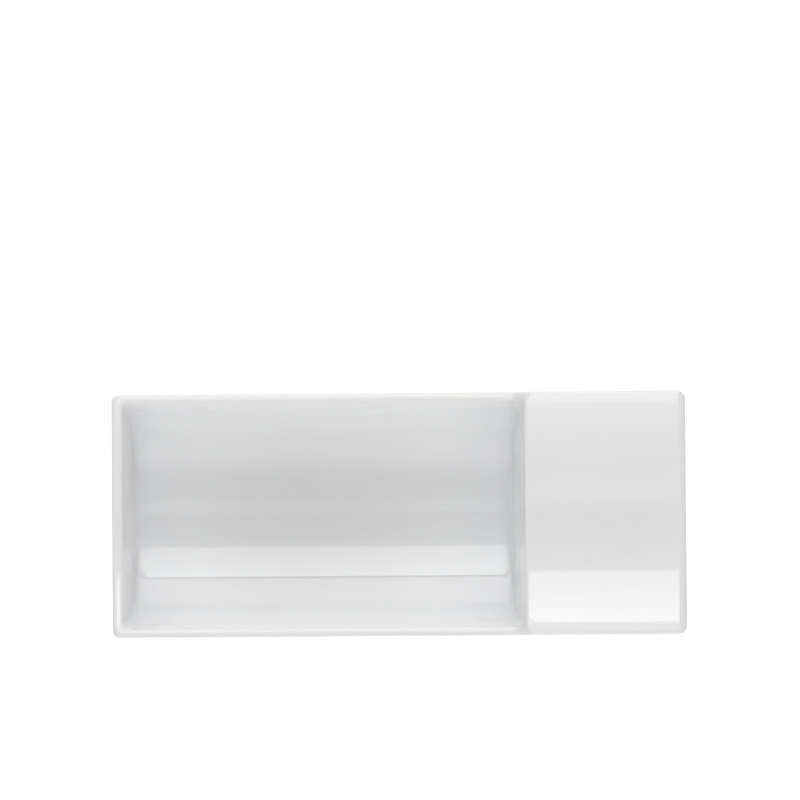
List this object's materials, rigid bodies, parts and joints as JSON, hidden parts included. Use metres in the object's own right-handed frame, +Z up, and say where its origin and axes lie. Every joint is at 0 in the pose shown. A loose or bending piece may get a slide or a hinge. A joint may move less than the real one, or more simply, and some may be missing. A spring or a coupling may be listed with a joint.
{
  "type": "appetizer plate",
  "caption": "Long white porcelain trough dish with leaning walls and a rounded belly, a raised thumb ledge at one end and a low rectangular foot ring",
  "frame": {"origin": "on the table under the middle of the dish's outline", "axes": "+X along the dish towards the raised ledge, +Y to the back across its width, +Z up"},
  "size_m": [0.165, 0.07, 0.0371],
  "materials": {
    "white_glaze": "smooth high-gloss clear glaze over white porcelain",
    "foot_porcelain": "glazed sides, with a bare matt contact edge where it stood in the kiln"
  },
  "bodies": {
    "root": {"trough": "white_glaze", "ledge": "white_glaze", "foot_ring": "foot_porcelain"}
  },
  "joints": []
}
